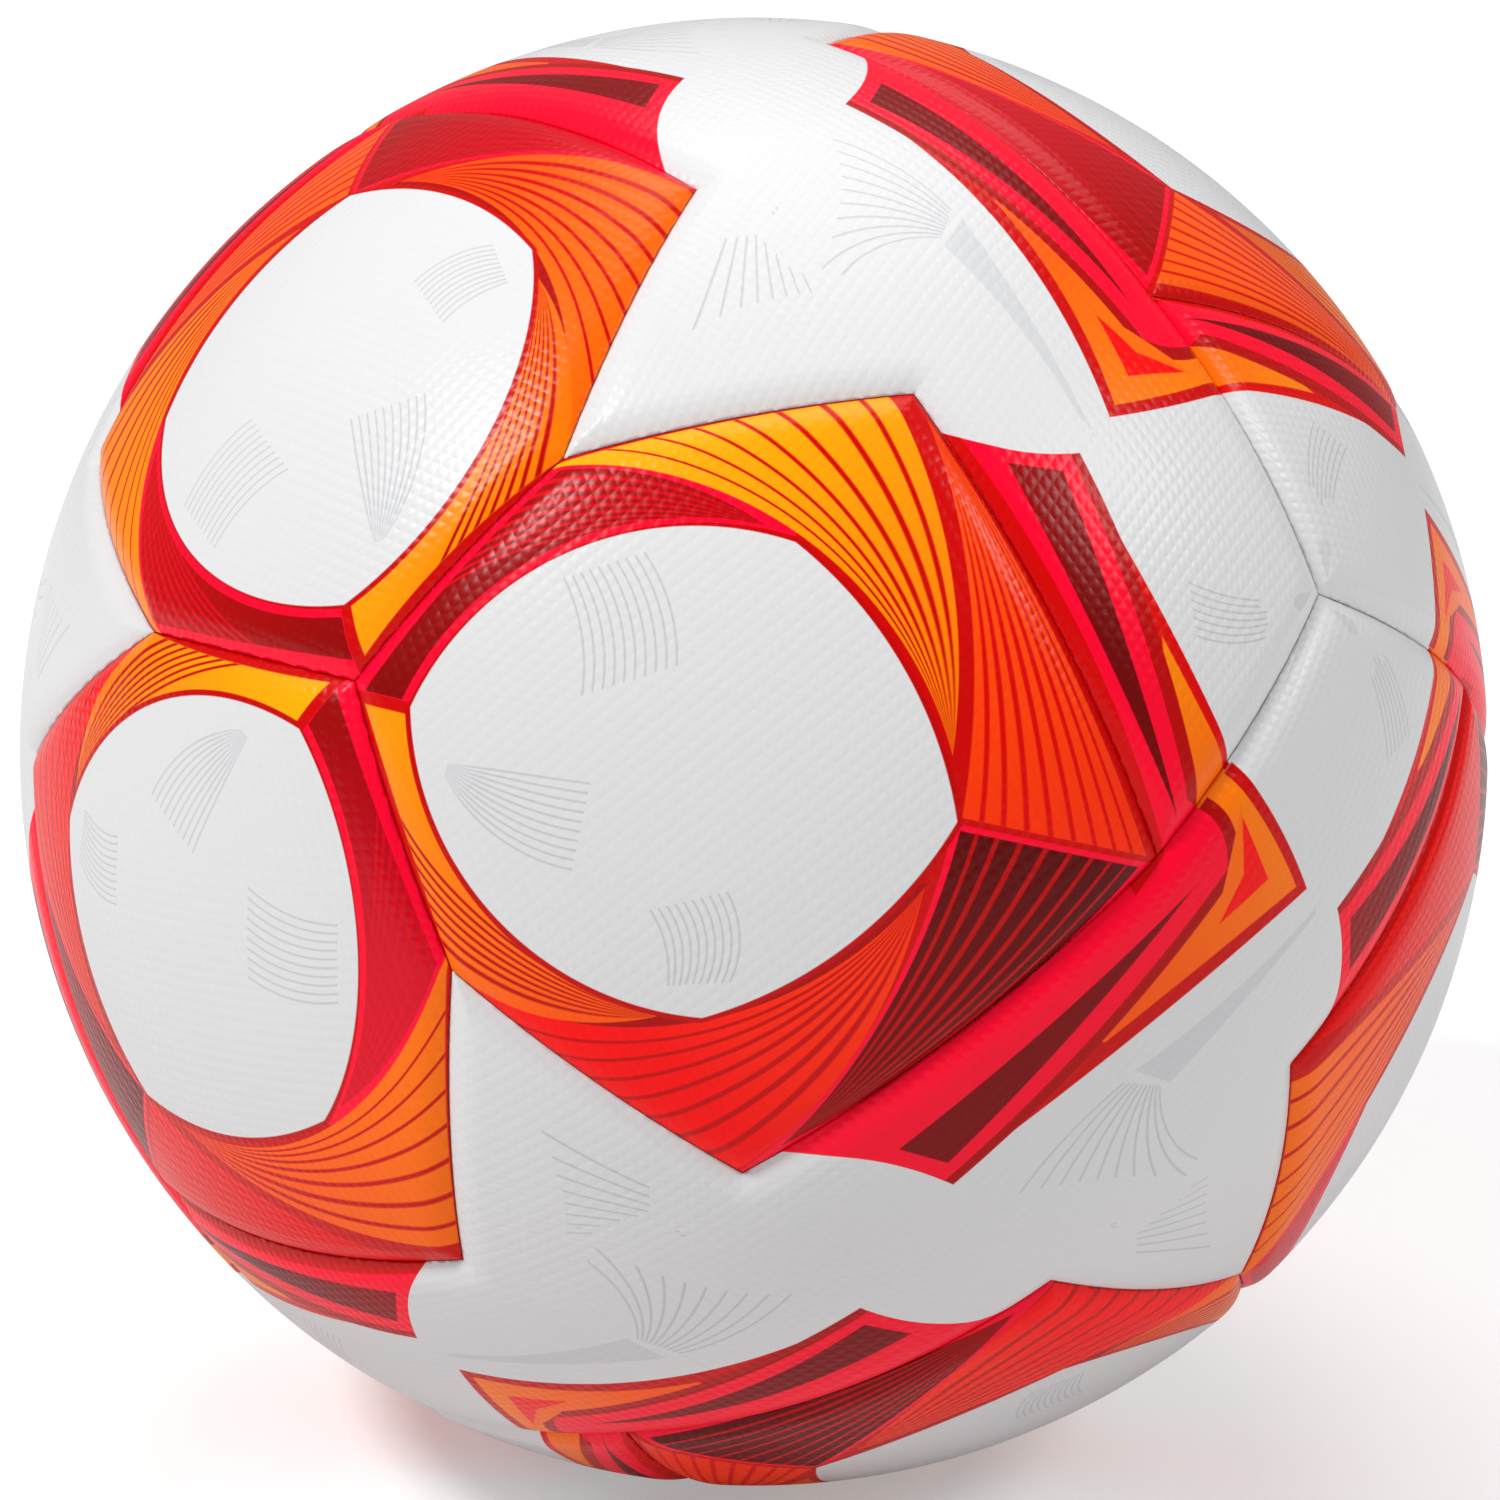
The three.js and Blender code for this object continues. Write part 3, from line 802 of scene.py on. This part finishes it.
def makeCoverMaterial(name, printTree):
    material, tree, shader = newMaterial(name)
    color = useGroup(tree, printTree, Position=mapPlace(tree, "printMap"))["Color"]
    worn = useGroup(tree, coverWear, Color=color, Amount=coverFinish["tone change"],
                    Gloss=coverFinish["roughness"])
    tree.links.new(worn["Color"], shader.inputs["Base Color"])
    tree.links.new(worn["Roughness"], shader.inputs["Roughness"])
    shader.inputs["Specular IOR Level"].default_value = coverFinish["reflection"]
    grain = useGroup(tree, pebbleGrain, Position=mapPlace(tree, "grainMap"),
                     Pitch=coverFinish["grain pitch"])
    addBump(tree, shader, grain["Height"], 1.0, coverFinish["grain depth"])
    return material


flameMaterials = []
for i, colors in enumerate(fanColors):
    printTree = makePrint(f"flamePrint.{i + 1}", paint(*borderRed), repainted(flamePrint, colors))
    flameMaterials.append(makeCoverMaterial(f"printedCover.{i + 1}", printTree))
whiteMaterial = makeCoverMaterial("whiteCover", makePrint("whitePrint", paint(*white), whitePrint))

flameBase, whiteBase = makeFlameBase(), makeWhiteBase()
for base in (flameBase, whiteBase):
    work(base)
    bpy.ops.object.shade_smooth()
    applyModifier(base, "SOLIDIFY", thickness=coverShape["thickness"], offset=-1)
print("cover patterns cut,", len(flameBase.data.polygons), "and", len(whiteBase.data.polygons), "faces")

valveAxis = (stand @ whiteTurns[valvePanel] @ Vector((1, 0, 0))).normalized()
valveHole = {
    "radius": 4.3 * mm,  # the valve's stem and its clearance
    "depth": 0.03,
    "sides": 64,
}


def boreHole(piece):
    deselectAll()
    bpy.ops.mesh.primitive_cylinder_add(vertices=valveHole["sides"], radius=valveHole["radius"],
                                        depth=valveHole["depth"], location=valveAxis * crownRadius,
                                        rotation=valveAxis.to_track_quat("Z", "Y").to_euler())
    cutter = bpy.context.object
    applyModifier(piece, "BOOLEAN", operation="DIFFERENCE", object=cutter, solver="EXACT")
    bpy.data.objects.remove(cutter)


for i, turn in enumerate(flameTurns):
    cover = copyPiece(flameBase, f"flameCover.{i + 1:02d}", turn)
    finishPiece(cover, f"flame_cover_{i + 1:02d}",
                flameMaterials[i % len(flameMaterials)])
for i, turn in enumerate(whiteTurns):
    cover = copyPiece(whiteBase, f"whiteCover.{i + 1:02d}", turn)
    if i == lowestPanel:
        places = vertexPlaces(cover.data)
        places[:, 2] = np.maximum(places[:, 2], groundZ)
        cover.data.vertices.foreach_set("co", places.ravel())
        cover.data.update()
    if i == valvePanel:
        boreHole(cover)
    finishPiece(cover, f"white_cover_{i + 1:02d}", whiteMaterial)
for base in (flameBase, whiteBase):
    bpy.data.objects.remove(base)
print("covers placed")

# foam pads

padShape = {
    "steps": 6,
    "gap": 0.5 * mm,  # from the middle of a seam to the foam
    "radius": crownRadius - 2 * mm,
    "thickness": 3.4 * mm,
    "smoothAngle": 40,
    "fill": 0.85,
}
foamFinish = {
    "colors": ((240, 232, 208), (226, 214, 184)),
    "cloud noise": {"Scale": 30.0},
    "cell scale": 1400.0,
    "cell strength": 0.6,
    "cell depth": 0.2 * mm,
    "roughness": 0.9,
}


def makeFoamMaterial():
    material, tree, shader = newMaterial("cutFoam")
    look, place = foamFinish, objectPlace(tree)
    cells = addNode(tree, "ShaderNodeTexVoronoi", {"Vector": place, "Scale": look["cell scale"]})
    cloud = addNoise(tree, place, look["cloud noise"])
    color = mixColor(tree, cloud, *(paint(*shade) for shade in look["colors"]))
    tree.links.new(color, shader.inputs["Base Color"])
    shader.inputs["Roughness"].default_value = look["roughness"]
    addBump(tree, shader, cells.outputs["Distance"], look["cell strength"], look["cell depth"])
    return material


def makePadBase(name, corners, white):
    size = padShape
    pad = addBall(name, size["radius"], size["steps"])
    arcs = seamArcs(corners)
    cutAlong(pad, arcs, size["gap"], not white)
    if white:
        ways = waysTo(faceCentres(pad.data))
        near = seamDistance(ways, arcs) * size["radius"] < size["gap"]
        selectFaces(pad, ~insideWhite(ways) | (ways[:, 0] < coverShape["whiteStart"]) | near)
        bpy.ops.mesh.delete(type="FACE")
        bpy.ops.object.mode_set(mode="OBJECT")
    rollRims(pad, arcs, size["radius"])
    outer = len(pad.data.vertices)
    applyModifier(pad, "SOLIDIFY", thickness=size["thickness"], offset=-1)
    places = vertexPlaces(pad.data)
    under = places[outer:]  # the side that lies flat on the carcass
    under *= ((size["radius"] - size["thickness"]) / np.linalg.norm(under, axis=1))[:, None]
    pad.data.vertices.foreach_set("co", places.ravel())
    pad.data.update()
    work(pad)
    bpy.ops.object.shade_smooth_by_angle(angle=math.radians(size["smoothAngle"]))
    return pad


foamMaterial = makeFoamMaterial()
for kind, corners, turns in (("flame", flameCorners, flameTurns),
                             ("white", whiteCorners[:12], whiteTurns)):
    base = makePadBase(kind + "PadBase", corners, kind == "white")
    for i, turn in enumerate(turns):
        pad = copyPiece(base, f"{kind}Pad.{i + 1:02d}", turn)
        if kind == "white" and i == valvePanel:
            boreHole(pad)
        finishPiece(pad, f"{kind}_pad_{i + 1:02d}", foamMaterial)
    bpy.data.objects.remove(base)
print("foam pads placed")

# valve

valveShape = {
    "sides": 64,
    "stemRadius": 4 * mm,
    "boreRadius": 2 * mm,
    "flangeThickness": 1.4 * mm,
    "flangeEdge": 0.98,  # faces further out than this share of the stem's radius are its side
    "lipWidth": 0.5 * mm,
    "lipDepth": 0.25 * mm,
    "boreFloor": 1 * mm,  # rubber left under the bore
    "seatBevel": 0.25 * mm,
    "coreClearance": 0.1 * mm,
    "coreBevel": 0.15 * mm,
    "needleRadius": 0.55 * mm,
    "needleDepth": 1.5 * mm,
    "bevelRows": 3,
    "bevelAngle": 40,
    "smoothAngle": 35,
}
flatTolerance = 1e-6


def alongAxis(node):
    # how far a CAD node reaches along the valve's axis and away from it
    places = vertexPlaces(nodes[node].data)
    heights = places @ np.array(valveAxis)
    around = np.linalg.norm(places - heights[:, None] * np.array(valveAxis), axis=1)
    return heights.min(), heights.max(), around.max()


def startRound(name, radius, low, high):
    # a round piece along Z, with its top selected for the next step
    deselectAll()
    bpy.ops.mesh.primitive_cylinder_add(vertices=valveShape["sides"], radius=radius,
                                        depth=high - low, location=(0, 0, (high + low) / 2))
    piece = bpy.context.object
    piece.name = name
    bpy.ops.object.transform_apply(location=True)
    selectFaces(piece, np.abs(faceCentres(piece.data)[:, 2] - high) < flatTolerance)
    return piece


def pushIn(depth):
    bpy.ops.mesh.extrude_region_move(TRANSFORM_OT_translate={"value": (0, 0, -depth)})


def roundEdges(piece, width):
    applyModifier(piece, "BEVEL", width=width, segments=valveShape["bevelRows"], limit_method="ANGLE",
                  angle_limit=math.radians(valveShape["bevelAngle"]))
    bpy.ops.object.shade_smooth_by_angle(angle=math.radians(valveShape["smoothAngle"]))


def makeValveSeat():
    size = valveShape
    low, high, wide = alongAxis("valve_seat")
    seat = startRound("valveSeat", size["stemRadius"], low, high)
    bpy.ops.mesh.inset(thickness=size["stemRadius"] - size["boreRadius"] - size["lipWidth"])
    pushIn(size["lipDepth"])
    bpy.ops.mesh.inset(thickness=size["lipWidth"])
    pushIn(high - low - size["boreFloor"])
    bpy.ops.object.mode_set(mode="EDIT")
    bpy.ops.mesh.select_all(action="SELECT")
    bpy.ops.mesh.bisect(plane_co=(0, 0, low + size["flangeThickness"]), plane_no=(0, 0, 1))
    bpy.ops.object.mode_set(mode="OBJECT")
    centres = faceCentres(seat.data)
    around = np.hypot(centres[:, 0], centres[:, 1])
    lowBand = ((centres[:, 2] < low + size["flangeThickness"])
               & (centres[:, 2] > low + flatTolerance))
    selectFaces(seat, lowBand & (around > size["stemRadius"] * size["flangeEdge"]))
    bpy.ops.mesh.extrude_region_shrink_fatten(
        TRANSFORM_OT_shrink_fatten={"value": -(wide - size["stemRadius"])})
    bpy.ops.object.mode_set(mode="OBJECT")
    roundEdges(seat, size["seatBevel"])
    return seat


def makeValveCore():
    size = valveShape
    low, high, _ = alongAxis("valve_core")
    radius = size["boreRadius"] - size["coreClearance"]
    core = startRound("valveCore", radius, low, high)
    bpy.ops.mesh.inset(thickness=radius - size["needleRadius"] * 2)
    bpy.ops.mesh.inset(thickness=size["needleRadius"])
    pushIn(size["needleDepth"])
    bpy.ops.object.mode_set(mode="OBJECT")
    roundEdges(core, size["coreBevel"])
    return core


rubberFinish = {
    "cloud noise": {"Scale": 90.0, "Detail": 4.0},
    "fine noise": {"Scale": 2600.0, "Detail": 3.0},
    "fine strength": 0.5,
    "roughness change": 0.2,
}
clothFinish = {
    "colors": ((196, 188, 166), (236, 231, 216)),
    "thread turns": ((0.3, 0.2, 0.0), (0.2, 1.1, 0.9)),  # radians
    "thread wave": {"Scale": 260.0, "Distortion": 0.6},
    "thread strength": 0.7,
    "thread depth": 0.25 * mm,
    "roughness": 0.8,
}


def makeRubberMaterial(name, first, second, roughness, grain):
    material, tree, shader = newMaterial(name)
    look, place = rubberFinish, objectPlace(tree)
    cloud = addNoise(tree, place, look["cloud noise"])
    tree.links.new(mixColor(tree, cloud, paint(*first), paint(*second)), shader.inputs["Base Color"])
    change = look["roughness change"]
    tree.links.new(calc(tree, "MULTIPLY_ADD", cloud, change, roughness - change / 2),
                   shader.inputs["Roughness"])
    addBump(tree, shader, addNoise(tree, place, look["fine noise"]), look["fine strength"], grain)
    return material


def makeClothMaterial():
    # crossed threads wound round the ball and bonded with a thin coat of latex
    material, tree, shader = newMaterial("woundCloth")
    look, place = clothFinish, objectPlace(tree)
    threads = []
    for turn in look["thread turns"]:
        mapped = addNode(tree, "ShaderNodeMapping", {"Vector": place, "Rotation": turn}).outputs[0]
        wave = addNode(tree, "ShaderNodeTexWave", {"Vector": mapped, **look["thread wave"]})
        threads.append(wave.outputs["Fac"])
    weave = calc(tree, "MAXIMUM", *threads)
    tree.links.new(mixColor(tree, weave, *(paint(*shade) for shade in look["colors"])),
                   shader.inputs["Base Color"])
    shader.inputs["Roughness"].default_value = look["roughness"]
    addBump(tree, shader, weave, look["thread strength"], look["thread depth"])
    return material


valveMaterial = makeRubberMaterial("valveRubber", (40, 40, 42), (58, 58, 60), 0.5, 0.05 * mm)
coreMaterial = makeRubberMaterial("coreRubber", (62, 60, 58), (84, 82, 80), 0.6, 0.05 * mm)
for piece, node, material in ((makeValveSeat(), "valve_seat", valveMaterial),
                              (makeValveCore(), "valve_core", coreMaterial)):
    piece.data.transform(Vector((0, 0, 1)).rotation_difference(valveAxis).to_matrix().to_4x4())
    finishPiece(piece, node, material)
print("valve made")

# layers that keep their CAD shape

for node, material in (
        ("carcass", makeClothMaterial()),
        ("bladder", makeRubberMaterial("bladderRubber", (34, 34, 36), (52, 50, 50), 0.55, 0.08 * mm)),
        ("balance_weight",
         makeRubberMaterial("weightRubber", (70, 74, 82), (96, 100, 108), 0.6, 0.1 * mm))):
    nodes[node].data.materials.clear()
    nodes[node].data.materials.append(material)
print("inner layers finished")

# stage, lights and camera

studio = {
    "camera distance": 515.8 * mm,
    "camera height angle": 14,
    "lens": 80.86,
    "sensor": 36,
    "shift": (-0.0025, 0.001),
    "nearest": 0.01,
    "floor width": 60,
    "floor colors": ((0.86, 0.86, 0.86, 1), (0.7, 0.7, 0.7, 1)),
    "floor cloud": 0.06,
    "floor noise": {"Scale": 3.0},
    "floor roughness": 0.9,
    "floor glow": 0.7,
    "glow from": 0.15,  # metres from the ball
    "glow full": 1.3,
    "floor fill": 0.4,  # more glow that only the camera sees
    "room light": 0.22,
}
lamps = {  # place, width and power
    "keyLight": ((-0.69, -0.53, 0.97), 0.26, 11.5),
    "sideLight": ((0.95, -0.35, 0.82), 0.32, 4.6),
    "topLight": ((0.1, 0.3, 1.3), 1.0, 7),
}


def makeFloor():
    deselectAll()
    bpy.ops.mesh.primitive_plane_add(size=studio["floor width"], location=(0, 0, groundZ))
    floor = bpy.context.object
    floor.name = "studioFloor"
    material, tree, shader = newMaterial("paleFloor")
    place = objectPlace(tree)
    cloud = addNoise(tree, place, studio["floor noise"])
    pale = mixColor(tree, calc(tree, "MULTIPLY", cloud, studio["floor cloud"]), *studio["floor colors"])
    tree.links.new(pale, shader.inputs["Base Color"])
    reach = addNode(tree, "ShaderNodeVectorMath", {0: place}, operation="LENGTH").outputs["Value"]
    far = addNode(tree, "ShaderNodeMapRange",
                  {"Value": reach, "From Min": studio["glow from"], "From Max": studio["glow full"]},
                  interpolation_type="SMOOTHSTEP").outputs[0]
    seen = addNode(tree, "ShaderNodeLightPath").outputs["Is Camera Ray"]
    strength = calc(tree, "MULTIPLY_ADD", far, studio["floor glow"],
                    calc(tree, "MULTIPLY", seen, studio["floor fill"]))
    tree.links.new(pale, shader.inputs["Emission Color"])
    tree.links.new(strength, shader.inputs["Emission Strength"])
    shader.inputs["Roughness"].default_value = studio["floor roughness"]
    floor.data.materials.append(material)


def addLight(name, place, width, power):
    # a round lamp that points at the ball's centre
    data = bpy.data.lights.new(name, "AREA")
    data.shape, data.size, data.energy = "DISK", width, power
    light = bpy.data.objects.new(name, data)
    light.location = place
    light.rotation_euler = (-Vector(place)).to_track_quat("-Z", "Y").to_euler()
    bpy.context.scene.collection.objects.link(light)


def makeCamera():
    data = bpy.data.cameras.new("camera")
    data.lens, data.sensor_width = studio["lens"], studio["sensor"]
    data.shift_x, data.shift_y = studio["shift"]
    data.clip_start = studio["nearest"]
    camera = bpy.data.objects.new("camera", data)
    raised = math.radians(studio["camera height angle"])
    camera.location = Vector((0, -math.cos(raised), math.sin(raised))) * studio["camera distance"]
    camera.rotation_euler = (math.pi / 2 - raised, 0, 0)
    bpy.context.scene.collection.objects.link(camera)
    bpy.context.scene.camera = camera


def lightRoom():
    # white where the camera sees it, and a dim light for everything else
    world = bpy.context.scene.world or bpy.data.worlds.new("world")
    bpy.context.scene.world = world
    world.use_nodes = True
    tree = world.node_tree
    seen = addNode(tree, "ShaderNodeLightPath").outputs["Is Camera Ray"]
    background = tree.nodes["Background"].inputs
    background["Color"].default_value = (1, 1, 1, 1)
    tree.links.new(calc(tree, "MAXIMUM", seen, studio["room light"]), background["Strength"])


makeFloor()
makeCamera()
for name, lamp in lamps.items():
    addLight(name, *lamp)
lightRoom()
bpy.context.scene.view_settings.view_transform = "Standard"
print("studio ready")
